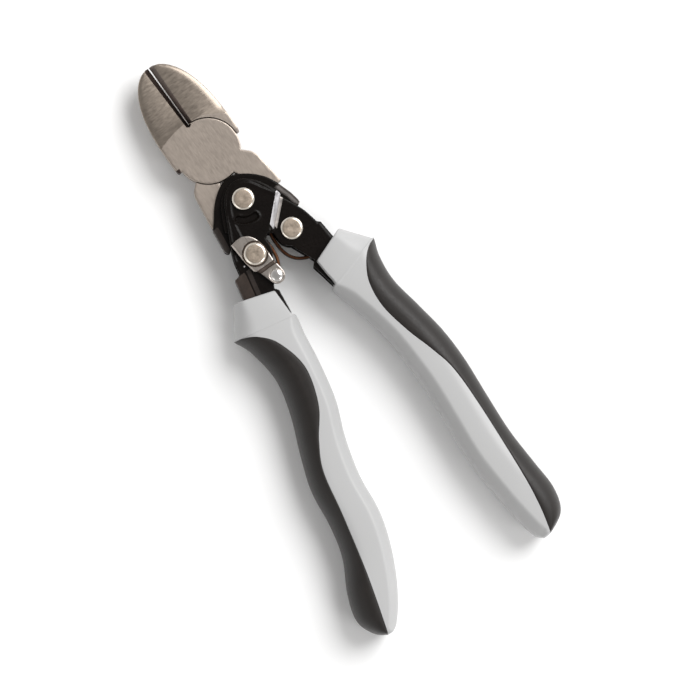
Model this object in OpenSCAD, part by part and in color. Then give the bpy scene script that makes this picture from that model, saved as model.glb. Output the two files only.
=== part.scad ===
// Compound-leverage diagonal cutters, lying flat with the jaw tips towards +X.
// The linkage is drawn about the jaw pivot, on the middle plane of the jaws.
// place() then moves it so that the origin is the centre of the footprint, on the resting plane.

/* [Linkage] */
// Distance from the jaw pivot back to the fulcrum that joins the two handles
fulcrum_back = 20; // [19.8:0.1:20.2]
// Distance from the jaw pivot back to the two tail pivots
tail_back = 37.2; // [37:0.1:37.4]
// Sideways distance of each tail pivot from the centre line
tail_side = 7.5; // [7.4:0.1:7.6]

/* [Jaws] */
// Thickness of the jaws and their tails
jaw_t = 6.4; // [6:0.2:6.4]
// Radius of the round lap at the jaw pivot
hub_r = 11; // [10.8:0.1:11.1]
// Distance from the jaw pivot to the blade tips
blade_len = 34.2; // [33:0.1:35]
// Widest half width of the closed blades
blade_w = 12.6; // [12.2:0.1:12.8]
// Angle that each jaw still has to turn until its edge meets the other
gape = 0.35; // [0.35:0.05:0.8]
// Width of the bevel beside each cutting edge
bevel_w = 1.5; // [1:0.1:1.6]
// Radius of the jaw pivot pin
jaw_pin_r = 3; // [2.6:0.1:3.2]

/* [Sheet metal] */
// Thickness of the link covers
cover_t = 0.9; // [0.8:0.1:0.9]
// Thickness of the handle channels
sheet_t = 1.4; // [1.2:0.1:1.4]
// Gap between sheets that slide over one another
slide_gap = 0.08; // [0.06:0.01:0.1]

/* [Rivets] */
// Radius of the rivet shafts
rivet_r = 2.2; // [2:0.1:2.3]
// Radius of the rivet heads
head_r = 3.8; // [3.6:0.1:3.9]
// Height of the rivet heads
head_h = 1.1; // [0.8:0.1:1.2]
// Radial clearance of a piece that turns on a rivet
run_fit = 0.08; // [0.06:0.01:0.1]

/* [Springs and latch] */
// Thickness of the spring strip
spring_t = 0.8; // [0.6:0.1:0.9]
// Height of the spring strip
spring_h = 2.6; // [2:0.1:2.7]
// Thickness of the latch lever
latch_t = 1.2; // [1.1:0.1:1.3]
// Thickness of the wave washer under the latch
washer_t = 0.4; // [0.3:0.05:0.4]

/* [Grips] */
// Full thickness of the grips
grip_t = 17.6; // [17.4:0.2:19]
// Thickness of the soft pads
pad_t = 2.4; // [2:0.1:2.6]

/* [Hidden] */
$fn = 64;
half_jaw = jaw_t / 2;
half_grip = grip_t / 2;
bore_r = rivet_r + run_fit;
lap_gap = 0.3;
lap_half_gap = 0.04;
lap_face = half_jaw - 0.05;
jaw_pin_top = 2.4;

// Heights above the middle plane, each sheet lying on the one before it
cover_z = half_jaw + slide_gap;
inner_z = cover_z + cover_t + slide_gap;
outer_z = inner_z + sheet_t + slide_gap;
outer_top = outer_z + sheet_t;
inner_top = inner_z + sheet_t;
latch_z = outer_top + washer_t + slide_gap;
latch_floor = 0.7;

fulcrum = [-fulcrum_back, 0];
left_pin = [-tail_back, tail_side];
right_pin = [-tail_back, -tail_side];

steel = [0.62, 0.58, 0.54];
black_steel = [0.1, 0.09, 0.09];
nickel = [0.72, 0.7, 0.67];
spring_brown = [0.24, 0.17, 0.12];
grip_gray = [0.74, 0.75, 0.76];
pad_black = [0.2, 0.18, 0.18];

// Points of a circular arc, counterclockwise where a1 > a0
function arc(c, r, a0, a1, n = 12) =
    [for (k = [0:n]) let (a = a0 + (a1 - a0) * k / n) c + r * [cos(a), sin(a)]];

// One point of a Catmull-Rom curve between p1 and p2
function curve_point(p0, p1, p2, p3, t) =
    0.5 * (2 * p1 + (p2 - p0) * t + (2 * p0 - 5 * p1 + 4 * p2 - p3) * t * t
    + (3 * p1 - p0 - 3 * p2 + p3) * t * t * t);

// A smooth curve through every point of a list, with n steps between neighbours
function smooth(pts, n) = [
    for (i = [0:len(pts) - 2])
        for (k = [0:n - 1])
            curve_point(pts[max(i - 1, 0)], pts[i], pts[i + 1],
                pts[min(i + 2, len(pts) - 1)], k / n),
    pts[len(pts) - 1]
];

function mirrored(pts) = [for (p = pts) [p[0], -p[1]]];
function reversed(pts) = [for (k = [len(pts) - 1:-1:0]) pts[k]];

// Unit vector across a path at its point i, to the left of its direction
function across(pts, i) =
    let (d = pts[min(i + 1, len(pts) - 1)] - pts[max(i - 1, 0)])
    [-d[1], d[0]] / norm(d);

// Outline of a strip of constant thickness that follows a path
function strip(path, t) = concat(
    [for (i = [0:len(path) - 1]) path[i] + across(path, i) * t / 2],
    reversed([for (i = [0:len(path) - 1]) path[i] - across(path, i) * t / 2])
);

// ---- grip outlines, as pairs of points facing each other across the grip ----

left_outer = [[-46.5, 22.9], [-57.2, 29.9], [-63, 27.5], [-75, 26.1], [-87, 28.8], [-100, 34],
    [-112, 38.1], [-125, 39.8], [-136, 42.6], [-147, 48.4], [-156, 51], [-162.6, 48.7],
    [-165.6, 45.2]];
left_inner = [[-50.8, 8.3], [-61, 8.3], [-68, 9.4], [-79, 10.8], [-92, 13.6], [-104, 18.3],
    [-117, 21.8], [-130, 23.3], [-140, 26.2], [-150, 30.7], [-158.4, 35.8], [-164, 40.4],
    [-165.6, 43]];
right_outer = [[-46.1, -20.5], [-55.8, -28.1], [-62, -26.1], [-71, -25.4], [-82, -27.2],
    [-94, -29], [-106, -29.3], [-120, -28.3], [-134, -27.5], [-147, -28], [-158, -28.4],
    [-166, -25.6], [-169.9, -18.2]];
right_inner = [[-51, -8], [-62.6, -6.4], [-69, -8.6], [-77, -10.4], [-87, -12.1], [-97, -12.6],
    [-107, -12.6], [-120, -11.6], [-134, -10.5], [-147, -11], [-159, -12.1],
    [-167, -13.5], [-169.9, -15.8]];

// Inner edges of the soft pads, from the shoulder down to the end
left_pad_edge = [[-57.2, 29.9], [-57.6, 27.2], [-60.3, 22.6], [-66, 18.3], [-77.3, 15.9],
    [-90, 19.6], [-99.7, 26.4], [-109, 31.2], [-125, 34.5], [-145, 39.2], [-165.6, 45.2]];
right_pad_edge = [[-55.8, -28.1], [-57.3, -25], [-61, -21.4], [-67, -18.2], [-76, -17.3],
    [-87, -19.4], [-97.4, -22.6], [-107, -24.6], [-123, -24.7], [-147, -23.2], [-160, -21.5],
    [-169.9, -18.2]];

grip_steps = 3;
left_out = smooth(left_outer, grip_steps);
left_in = smooth(left_inner, grip_steps);
right_out = smooth(right_outer, grip_steps);
right_in = smooth(right_inner, grip_steps);

// Half thickness of a grip along its length, s from 0 at the mouth to 1 at the end
mouth_half = half_grip - 0.7;
end_half = 4.6;
function thickness(s) =
    s < 0.1 ? mouth_half + (half_grip - mouth_half) * sin(900 * s)
    : s < 0.8 ? half_grip
    : end_half + (half_grip - end_half) * sqrt(1 - pow((s - 0.8) / 0.2, 2));

// Share of a section that its corner arcs take up: boxy at the mouth, round further down
function roundness(s) = 0.8 - 0.5 * max(0, 1 - s / 0.14);

// Rounded cross-section between an outer and an inner point, drawn in by inset
corner_steps = 4;
function section(o, i, s, inset) =
    let (
        c = (o + i) / 2,
        e = (o - i) / norm(o - i),
        w = max(norm(o - i) / 2 - inset, 0.4),
        v = thickness(s) - inset,
        r = roundness(s) * min(w, v)
    )
    [for (q = [0:3]) for (k = [0:corner_steps])
        let (
            a = 90 * q + 90 * k / corner_steps,
            x = (q == 0 || q == 3 ? w - r : r - w) + r * cos(a),
            p = c + e * x
        )
        [p[0], p[1], (q < 2 ? v - r : r - v) + r * sin(a)]];

// A solid through a row of cross-sections
module loft(outer, inner, inset) {
    last = len(outer) - 1;
    n = 4 * (corner_steps + 1);
    points = [for (i = [0:last]) each section(outer[i], inner[i], i / last, inset)];
    sides = [for (i = [0:last - 1]) for (k = [0:n - 1])
        [i * n + k, i * n + (k + 1) % n, (i + 1) * n + (k + 1) % n, (i + 1) * n + k]];
    first_cap = [for (k = [n - 1:-1:0]) k];
    last_cap = [for (k = [0:n - 1]) last * n + k];
    polyhedron(points, concat(sides, [first_cap], [last_cap]), convexity = 6);
}

// The loft runs the other way round on the right, so its points are taken in mirror image
module left_loft(inset) {
    loft(left_out, left_in, inset);
}
module right_loft(inset) {
    mirror([0, 1, 0]) loft(mirrored(right_out), mirrored(right_in), inset);
}

// ---- placing ----

front_x = blade_len;
back_x = min([for (p = concat(right_out, right_in)) p[0]]);
left_y = max([for (p = left_out) p[1]]);
right_y = min([for (p = right_out) p[1]]);
shift = [-(front_x + back_x) / 2, -(left_y + right_y) / 2, half_grip];
module place() {
    translate(shift) children();
}

// ---- jaws ----

function blade_edge(x) = blade_w * sqrt(max(0, 1 - pow(max(0, x - 4) / (blade_len - 3.9), 2.5)));
blade_outline = concat(
    [[-0.5, 10], [-0.5, blade_w - 0.3], [0.6, blade_w]],
    [for (x = [4:2:28]) [x, blade_edge(x)]],
    [for (x = [29.5:1.5:32.5]) [x, blade_edge(x)]],
    [[blade_len - 0.6, blade_edge(blade_len - 0.6)], [blade_len, 1.6], [blade_len, 0], [4, 0]]
);

// Outline of the tail on the left side, narrowed where it runs inside the link covers
tail_eye_r = 4.8;
tail_outline = concat(
    [[-3, 4], [-5.4, 8.7], [-8.4, 11.8], [-10, 12.5], [-20, 13.8], [-22, 14], [-22, 11.2]],
    arc(left_pin, tail_eye_r, 50, 300, 18),
    [[-30, 5], [-15, 5], [-9.5, 2.4], [-6, 2]]
);

// Height of the cutting bevel at a distance from the edge; the edge itself is a narrow flat
edge_half = 0.2;
function bevel_z(y) = edge_half + (half_jaw - edge_half) * y / bevel_w;

// Height of the ground face, which falls away towards the tip from just beyond the lap
ground_x = hub_r + 0.8;
ground_slope = 1 / 30;
function ground_z(x) = half_jaw - ground_slope * (x - ground_x);

// A blade drawn on the left, turned open by the gape, with a bevel on both sides of its edge
module blade() {
    rotate([0, 0, gape]) difference() {
        linear_extrude(jaw_t, center = true) polygon(blade_outline);
        for (side = [-1, 1]) {
            // cutting bevel
            translate([hub_r - 0.2, 0, 0]) rotate([90, 0, 90]) linear_extrude(blade_len)
                polygon([for (y = [[-0.5, -0.5], [bevel_w + 0.5, bevel_w + 0.5],
                    [-0.5, bevel_w + 0.5]]) [y[0], bevel_z(y[1]) * side]]);
            // ground face
            translate([0, -1, 0]) rotate([90, 0, 0]) mirror([0, 0, 1])
                linear_extrude(blade_w + 2) polygon([[5, ground_z(5) * side],
                    [blade_len + 1, ground_z(blade_len + 1) * side],
                    [blade_len + 1, jaw_t * side], [5, jaw_t * side]]);
        }
    }
}

// The jaw with the blade on the left, its lap in front and its tail on the right.
// Its pin hole has the given radius and reaches up to the given height.
module jaw(hole_r, hole_top) {
    difference() {
        union() {
            blade();
            linear_extrude(jaw_t, center = true) polygon(mirrored(tail_outline));
            cylinder(r = hub_r, h = jaw_t, $fn = 96);
        }
        // machined face of the lap, just below the faces round it
        translate([0, 0, lap_face]) cylinder(r = hub_r + lap_gap / 2, h = jaw_t, $fn = 96);
        // room for the other jaw's lap
        translate([0, 0, -half_jaw - 1])
            cylinder(r = hub_r + lap_gap, h = half_jaw + 1 + lap_half_gap, $fn = 96);
        translate([0, 0, -1]) cylinder(r = hole_r, h = 1 + hole_top);
        bore(right_pin, bore_r);
    }
}

module left_jaw() {
    color(steel) place() jaw(jaw_pin_r, jaw_pin_top);
}

module right_jaw() {
    color(steel) place() rotate([180, 0, 0]) jaw(jaw_pin_r + run_fit, jaw_t);
}

// Pin sunk in the front lap from behind, flush with the back of the other lap
module jaw_pivot_pin() {
    color(steel) place() translate([0, 0, -lap_face])
        cylinder(r = jaw_pin_r, h = lap_face + jaw_pin_top);
}

// ---- link covers ----

web_top = -22.6;
web_end = -31.8;
cover_half = concat(
    smooth([[-11.2, 0], [-12.3, 4], [-14.5, 7.2], [-17, 9.7], [-20, 12], [web_top, 14.3]], 3),
    [[web_end, 15.3], [web_end, 13.6], [-30.4, 12.4]]
);
cover_outline = concat(cover_half, reversed(mirrored(cover_half)));
web_outline = [[web_top, 14.3], [web_end, 15.3], [web_end, 15.3 - cover_t], [web_top, 14.3 - cover_t]];

// Front cover; its side walls reach down to the middle plane
module link_cover() {
    difference() {
        union() {
            translate([0, 0, cover_z]) linear_extrude(cover_t) polygon(cover_outline);
            for (side = [0, 1])
                mirror([0, side, 0]) linear_extrude(cover_z + cover_t / 2) polygon(web_outline);
        }
        bore(fulcrum, rivet_r);
    }
}

module front_link_cover() {
    color(black_steel) place() link_cover();
}

module back_link_cover() {
    color(black_steel) place() rotate([180, 0, 0]) link_cover();
}

// ---- handle channels ----

// Outer and inner edges of each channel, from the shoulder down to its end in the grip.
// The right channel is drawn on the left and then mirrored.
left_back = [[-40.3, 17.6], [-47.2, 19], [-56, 21.5], [-75, 21.8], [-92, 25], [-106, 31.4]];
left_front = [[-50.6, 9.3], [-59, 11.3], [-66, 13], [-75, 14.4], [-92, 17.8], [-106, 24.4]];
right_back = [[-40.3, 17.2], [-47.2, 18.4], [-56, 20.2], [-71, 20.4], [-88, 22], [-106, 23.4]];
right_front = [[-50.6, 8.9], [-62, 10.2], [-71, 12.6], [-88, 14.9], [-106, 16.4]];

// Arch over the fulcrum, then the outer edge down to the shoulder
flange_arch = smooth([[-25, -11], [-21, -9.3], [-17.2, -7], [-14.3, -3.7], [-13.4, 0],
    [-14.3, 3.7], [-17.2, 7], [-25, 10.4], [-31, 13.2], [-35, 14.9], [-40, 15.8]], 3);
lug_r = 5.6;
function flange(back, front) = concat(
    flange_arch,
    back,
    reversed(front),
    arc(left_pin, lug_r, 215, 270, 8),
    [[-34.6, 2], [-33.3, 0.2], [-33.2, -2.2]]
);

// Wall along the outer side of a channel
function wall(back, t) = concat(back, reversed([for (p = back) p - [0, t]]));

// A hole right through the tool
module bore(at, r) {
    translate(concat(at, -half_grip)) cylinder(r = r, h = grip_t);
}

// A channel with one flange in front and one behind, at height z above the middle plane
module channel(outline, back, z) {
    for (side = [0, 1])
        mirror([0, 0, side]) translate([0, 0, z]) linear_extrude(sheet_t) polygon(outline);
    linear_extrude(2 * z + 2 * sheet_t - 0.02, center = true)
        polygon(wall(back, sheet_t));
}

left_flange = flange(left_back, left_front);
right_flange = flange(right_back, right_front);

module left_handle_frame() {
    color(black_steel) place() difference() {
        channel(left_flange, left_back, outer_z);
        bore(fulcrum, bore_r);
        bore(left_pin, rivet_r);
        spring_rivet(left_foot_y, left_spring_z);
    }
}

module right_handle_frame() {
    color(black_steel) place() difference() {
        mirror([0, 1, 0]) channel(right_flange, right_back, inner_z);
        bore(fulcrum, bore_r);
        bore(right_pin, rivet_r);
        mirror([0, 1, 0]) spring_rivet(right_foot_y, right_spring_z);
    }
}

// ---- rivets and washers ----

// Low domed head standing on z = 0
module rivet_head() {
    dome = (head_r * head_r + head_h * head_h) / (2 * head_h);
    reach = asin((head_r - 0.2) / dome);
    rotate_extrude() polygon(concat([[0, 0], [head_r, 0], [head_r, 0.3]],
        [for (k = [8:-1:0]) let (a = reach * k / 8) [dome * sin(a), head_h - dome * (1 - cos(a))]]));
}

// Rivet through the whole stack, its heads at the two given heights
module rivet(at, front, back) {
    translate(concat(at, -back)) cylinder(r = rivet_r, h = front + back);
    translate(concat(at, front)) rivet_head();
    translate(concat(at, -back)) mirror([0, 0, 1]) rivet_head();
}

module ring(at, z, r_in, r_out, h) {
    translate(concat(at, z)) difference() {
        cylinder(r = r_out, h = h);
        translate([0, 0, -1]) cylinder(r = r_in, h = h + 2);
    }
}

module fulcrum_rivet() {
    color(nickel) place() rivet(fulcrum, outer_top, outer_top);
}

module right_tail_rivet() {
    color(nickel) place() rivet(right_pin, inner_top, inner_top);
}

module left_tail_rivet() {
    color(nickel) place() rivet(left_pin, latch_z + latch_floor + slide_gap, outer_top);
}

module fulcrum_spacer() {
    color(steel) place() ring(fulcrum, -cover_z, rivet_r, 3, 2 * cover_z);
}

module tail_washers(at, top) {
    for (side = [0, 1])
        mirror([0, 0, side])
            ring(at, half_jaw + slide_gap, rivet_r, 4.2, top - half_jaw - slide_gap);
}

module left_tail_washers() {
    color(steel) place() tail_washers(left_pin, outer_z);
}

module right_tail_washers() {
    color(steel) place() tail_washers(right_pin, inner_z);
}

// ---- springs ----

spring_eye_r = 3.7;
foot_x = -64;
left_foot_y = 19.5;
right_foot_y = 18.2;
left_spring_z = 0.2;
right_spring_z = -0.2 - spring_h;

// A strip on the left: an eye round the fulcrum, a bow past the tail, and a foot in the channel
function spring_path(foot_y) = concat(
    arc(fulcrum, spring_eye_r, -160, 110, 20),
    smooth([[-25, 2.7], [-29, 2.1], [-33, 1.9], [-37, 1.1], [-41, 1.2], [-45, 2.8],
        [-48, 6.2], [-51, 11.5], [-56, foot_y - 2.4], [-60, foot_y], [foot_x - 4, foot_y]], 4)
);

module spring(foot_y, z) {
    difference() {
        translate([0, 0, z]) linear_extrude(spring_h)
            polygon(strip(spring_path(foot_y), spring_t));
        spring_rivet(foot_y, z);
    }
}

// Shaft of the rivet that holds a spring's foot to the wall of its channel
foot_rivet_r = 0.8;
foot_rivet_len = 2.3;
foot_head_r = 1.2;
foot_head_h = 0.6;
module spring_rivet(foot_y, z) {
    translate([foot_x, foot_y - spring_t / 2, z + spring_h / 2]) rotate([-90, 0, 0])
        cylinder(r = foot_rivet_r, h = foot_rivet_len, $fn = 32);
}

module headed_spring_rivet(foot_y, z) {
    spring_rivet(foot_y, z);
    translate([foot_x, foot_y - spring_t / 2 - foot_head_h, z + spring_h / 2])
        rotate([-90, 0, 0]) cylinder(r = foot_head_r, h = foot_head_h, $fn = 32);
}

module left_spring() {
    color(spring_brown) place() spring(left_foot_y, left_spring_z);
}

module right_spring() {
    color(spring_brown) place() mirror([0, 1, 0]) spring(right_foot_y, right_spring_z);
}

module left_spring_rivet() {
    color(steel) place() headed_spring_rivet(left_foot_y, left_spring_z);
}

module right_spring_rivet() {
    color(steel) place() mirror([0, 1, 0]) headed_spring_rivet(right_foot_y, right_spring_z);
}

// ---- latch ----

thumb = [-10.4, -1.5];
thumb_r = 2.1;
thumb_h = 0.9;
latch_sink_r = 4.3;
latch_outline = concat(
    [[6.6, 5]],
    smooth([[7, 1], [6.4, -1.6], [4.1, -3.3], [1.7, -4.3], [-1.4, -4.7], [-5.7, -4.3],
        [-8, -4.2]], 3),
    arc(thumb, 2.7, -90, -250, 12),
    [[-8.1, 2.6], [-5.7, 3.2], [-4.7, 4.1], [-0.7, 4.6]]
);

// Lever that turns on the left tail rivet, with the rivet head sunk in it
module latch_lever() {
    color(nickel) place() translate(concat(left_pin, latch_z)) difference() {
        union() {
            linear_extrude(latch_t) polygon(latch_outline);
            // domed thumb rest
            translate(concat(thumb, latch_t - 0.01)) rotate_extrude()
                polygon(concat([[0, 0]], [for (a = [0:11.25:90]) [thumb_r * cos(a), thumb_h * sin(a)]]));
        }
        translate([0, 0, -1]) cylinder(r = bore_r, h = latch_t + 2);
        translate([0, 0, latch_floor]) cylinder(r = latch_sink_r, h = latch_t);
    }
}

module latch_wave_washer() {
    color(spring_brown) place() ring(left_pin, outer_top, rivet_r, 4.1, washer_t);
}

// ---- grips ----

// Everything outside a pad's inner edge, right through the grip
pad_reach = 60;
module pad_zone(edge, side) {
    linear_extrude(grip_t + 2, center = true)
        polygon(concat(smooth(edge, grip_steps), [[back_x - 5, pad_reach * side],
            [edge[0][0] + 7, pad_reach * side]]));
}

module left_cavity() {
    linear_extrude(2 * outer_top, center = true) polygon(left_flange);
}

module right_cavity() {
    linear_extrude(2 * inner_top, center = true) polygon(mirrored(right_flange));
}

module left_grip_pad() {
    color(pad_black) place() intersection() {
        difference() {
            left_loft(0);
            left_loft(pad_t);
            left_cavity();
        }
        pad_zone(left_pad_edge, 1);
    }
}

module right_grip_pad() {
    color(pad_black) place() intersection() {
        difference() {
            right_loft(0);
            right_loft(pad_t);
            right_cavity();
        }
        pad_zone(right_pad_edge, -1);
    }
}

module left_grip_shell() {
    color(grip_gray) place() difference() {
        left_loft(0);
        difference() {
            pad_zone(left_pad_edge, 1);
            left_loft(pad_t);
        }
        left_cavity();
    }
}

module right_grip_shell() {
    color(grip_gray) place() difference() {
        right_loft(0);
        difference() {
            pad_zone(right_pad_edge, -1);
            right_loft(pad_t);
        }
        right_cavity();
    }
}

left_jaw();
right_jaw();
jaw_pivot_pin();
front_link_cover();
back_link_cover();
fulcrum_rivet();
fulcrum_spacer();
left_handle_frame();
right_handle_frame();
left_tail_rivet();
right_tail_rivet();
left_tail_washers();
right_tail_washers();
left_spring();
right_spring();
left_spring_rivet();
right_spring_rivet();
latch_lever();
latch_wave_washer();
left_grip_shell();
left_grip_pad();
right_grip_shell();
right_grip_pad();
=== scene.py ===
"""Compound-leverage diagonal cutters: finished surfaces, materials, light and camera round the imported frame.

Lengths are in mm from the jaw pivot, x towards the jaw tips and y towards the left handle,
and heights are in mm above the middle plane of the jaws. place() turns them into the frame's metres.
"""

import math

import bpy
import numpy as np
from mathutils import Matrix, Vector, geometry


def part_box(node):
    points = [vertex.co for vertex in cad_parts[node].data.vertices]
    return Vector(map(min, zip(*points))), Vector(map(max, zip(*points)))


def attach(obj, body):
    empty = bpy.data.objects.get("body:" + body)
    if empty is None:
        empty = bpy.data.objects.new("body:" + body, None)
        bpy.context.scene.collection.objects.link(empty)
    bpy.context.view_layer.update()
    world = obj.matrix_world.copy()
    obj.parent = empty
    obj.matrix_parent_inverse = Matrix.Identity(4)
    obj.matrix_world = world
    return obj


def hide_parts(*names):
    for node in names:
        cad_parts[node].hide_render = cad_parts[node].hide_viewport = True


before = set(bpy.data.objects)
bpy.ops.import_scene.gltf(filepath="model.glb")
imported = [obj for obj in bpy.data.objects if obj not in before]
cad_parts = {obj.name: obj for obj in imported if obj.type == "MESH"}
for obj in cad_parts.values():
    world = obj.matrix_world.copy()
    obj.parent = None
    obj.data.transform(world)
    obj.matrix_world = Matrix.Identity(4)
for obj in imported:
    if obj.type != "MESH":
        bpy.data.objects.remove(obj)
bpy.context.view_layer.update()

MM = 0.001


def middle(node):
    low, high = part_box(node)
    return (low + high) / 2


JAW_PIVOT = middle("jaw_pivot_pin")
MID_Z = middle("fulcrum_spacer").z
ORIGIN = np.array([JAW_PIVOT.x, JAW_PIVOT.y, MID_Z])


def place(points):
    """Points in mm from the jaw pivot, as metres in the frame."""
    return np.asarray(points, float) * MM + ORIGIN


def spot(node):
    """Centre of a node, in mm from the jaw pivot."""
    return (np.array(middle(node)) - ORIGIN)[:2] / MM


def top_of(node):
    """Top of a node above the middle plane, in mm."""
    return (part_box(node)[1].z - MID_Z) / MM


FULCRUM = spot("fulcrum_spacer")
LEFT_PIN = spot("left_tail_washers")
RIGHT_PIN = spot("right_tail_washers")
JAW_TOP = top_of("left_jaw")
COVER_TOP = top_of("front_link_cover")
INNER_TOP = top_of("right_handle_frame")
OUTER_TOP = top_of("left_handle_frame")
LATCH_BASE = OUTER_TOP + 0.48
LATCH_TOP = LATCH_BASE + 1.2
# Height that the left tail rivet's head stands on, in the latch's recess
LATCH_FLOOR = LATCH_TOP - 0.42
COVER_T = 0.9
SHEET_T = 1.4
HUB_R = 11.0
LAP_R = 11.3
BLADE_LEN = 34.2
GAPE = math.radians(0.35)

# ---------------------------------------------------------------- outlines


def arc(centre, radius, start, end, steps):
    """Points along an arc between two angles in degrees."""
    a = np.radians(np.linspace(start, end, steps + 1))
    return [(centre[0] + radius * math.cos(t), centre[1] + radius * math.sin(t)) for t in a]


def smooth(points, steps):
    """Catmull-Rom curve through every point of a list."""
    p = np.asarray(points, float)
    last = len(p) - 1
    curve = []
    for i in range(last):
        p0, p1, p2, p3 = p[max(i - 1, 0)], p[i], p[i + 1], p[min(i + 2, last)]
        for t in np.arange(steps) / steps:
            curve.append(
                0.5 * (2 * p1 + (p2 - p0) * t + (2 * p0 - 5 * p1 + 4 * p2 - p3) * t * t
                       + (3 * p1 - p0 - 3 * p2 + p3) * t ** 3)
            )
    return [tuple(q) for q in curve] + [tuple(p[last])]


def mirrored(points):
    """The same points on the other side of the middle line."""
    return [(x, -y) for x, y in points]


def resampled(points, step, closed=True):
    """The same line with no stretch between neighbours longer than step."""
    p = np.asarray(points, float)
    ends = np.roll(p, -1, axis=0) if closed else p[1:]
    out = []
    for a, b in zip(p, ends):
        n = max(1, math.ceil(np.linalg.norm(b - a) / step))
        out += [a + (b - a) * k / n for k in range(n)]
    if not closed:
        out.append(p[-1])
    return np.array(out)


def parallel(line, gap):
    """The line moved sideways, to the left of its direction where gap is positive."""
    p = np.asarray(line, float)
    t = np.gradient(p, axis=0)
    t /= np.linalg.norm(t, axis=1)[:, None]
    return [tuple(q) for q in p + np.stack([-t[:, 1], t[:, 0]], 1) * gap]


def distance(points, line, closed=False):
    """Distance from each point to a line."""
    a = np.asarray(line, float)
    b = np.roll(a, -1, axis=0)
    if not closed:
        a, b = a[:-1], b[:-1]
    d = b - a
    best = np.full(len(points), 1e9)
    for start, step in zip(a, d):
        length = max(step @ step, 1e-12)
        t = np.clip(((points - start) @ step) / length, 0, 1)
        best = np.minimum(best, np.linalg.norm(points - start - t[:, None] * step, axis=1))
    return best


def inside(points, polygon):
    """Whether each point lies in a polygon."""
    p = np.asarray(polygon, float)
    x, y = points[:, 0], points[:, 1]
    odd = np.zeros(len(points), bool)
    for (ax, ay), (bx, by) in zip(p, np.roll(p, -1, axis=0)):
        if ay == by:
            continue
        crosses = (ay > y) != (by > y)
        odd ^= crosses & (x < ax + (y - ay) * (bx - ax) / (by - ay))
    return odd


def ramp(t):
    """Smooth step from 0 to 1."""
    t = np.clip(t, 0, 1)
    return t * t * (3 - 2 * t)


# ---------------------------------------------------------------- mesh making


class Shape:
    """Vertices, faces, a paint index per face and a rim value per vertex, gathered from several solids."""

    def __init__(self):
        self.vertices = []
        self.faces = []
        self.paint = []
        self.rim = []

    def add(self, vertices, faces, paint=0, rim=0.0):
        """Adds a solid. paint and rim are a list each, or one value for all of it."""
        base = len(self.vertices)
        self.vertices += [tuple(v) for v in vertices]
        self.faces += [[base + i for i in f] for f in faces]
        self.paint += list(paint) if hasattr(paint, "__len__") else [paint] * len(faces)
        self.rim += list(rim) if hasattr(rim, "__len__") else [rim] * len(vertices)
        return self

    def merge(self, other):
        return self.add(other.vertices, other.faces, other.paint, other.rim)

    def inside_out(self):
        return Shape().add(self.vertices, [f[::-1] for f in self.faces], self.paint, self.rim)

    def flipped(self, y, z):
        """The same solids with y and z each times 1 or -1."""
        vertices = [(a, b * y, c * z) for a, b, c in self.vertices]
        out = Shape().add(vertices, self.faces, self.paint, self.rim)
        return out if y * z > 0 else out.inside_out()

    def turned_over(self):
        """The same solids turned half a turn about x."""
        return self.flipped(-1, -1)

    def on_back(self):
        """The same solids mirrored from front to back."""
        return self.flipped(1, -1)

    def on_right(self):
        """The same solids mirrored from the left side to the right."""
        return self.flipped(-1, 1)

    def piece(self, name, finishes, body, nodes, slot, sharp=32):
        """Makes a mesh piece that rides on a CAD body in place of CAD nodes."""
        mesh = bpy.data.meshes.new(name)
        mesh.from_pydata([tuple(v) for v in place(self.vertices)], [], self.faces)
        for look in finishes:
            mesh.materials.append(look)
        mesh.polygons.foreach_set("material_index", np.asarray(self.paint, np.int32))
        layer = mesh.attributes.new("rim", "FLOAT", "POINT")
        layer.data.foreach_set("value", np.asarray(self.rim, np.float32))
        mesh.validate()
        mesh.shade_smooth()
        mesh.set_sharp_from_angle(angle=math.radians(sharp))
        piece = bpy.data.objects.new(name, mesh)
        bpy.context.scene.collection.objects.link(piece)
        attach(piece, body)
        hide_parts(*nodes)


# Shares of the rim's radius at which rings of points follow an outline
RINGS = (0.12, 0.4, 1.0)
# How fast wear fades away from a rim, and the wear on the walls
WEAR_FADE = 0.18
WALL_WEAR = 0.1


def crease_points(creases, cell, solid, depth, count):
    """Points along the creases, with the edges between them. The points are numbered from count."""
    points, edges = [], []
    for crease in creases:
        line = resampled(crease, cell, closed=False)
        keep = solid(line) & (depth(line) > 0.02)
        number = count + np.cumsum(keep) - 1
        for k in range(len(line) - 1):
            if keep[k] and keep[k + 1]:
                edges.append((int(number[k]), int(number[k + 1])))
        points.append(line[keep])
        count += int(keep.sum())
    return points, edges


def ring_points(loops, radius, solid, depth):
    """Rings of points beside each loop, where the rim is rounded."""
    points = []
    for loop in loops:
        tangent = np.roll(loop, -1, axis=0) - np.roll(loop, 1, axis=0)
        normal = np.stack([-tangent[:, 1], tangent[:, 0]], 1)
        normal /= np.maximum(np.linalg.norm(normal, axis=1), 1e-9)[:, None]
        for share in RINGS:
            reach = radius(loop) * share
            for side in (-1, 1):
                ring = loop + side * normal * reach[:, None]
                keep = solid(ring)
                ring, want = ring[keep], reach[keep]
                if len(ring):
                    points.append(ring[depth(ring) > 0.9 * want])
    return points


def grid_points(loop, cell, radius, solid, depth):
    """A grid of near-equilateral triangles inside a loop, clear of the rims."""
    low, high = loop.min(0), loop.max(0)
    rows = np.arange(low[1], high[1], cell * 0.87)
    columns = np.arange(low[0], high[0], cell)
    grid = np.array([(x + (cell / 2 if k % 2 else 0), y) for k, y in enumerate(rows) for x in columns])
    grid = grid[solid(grid)]
    return grid[depth(grid) > radius(grid) + 0.35 * cell]


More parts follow.
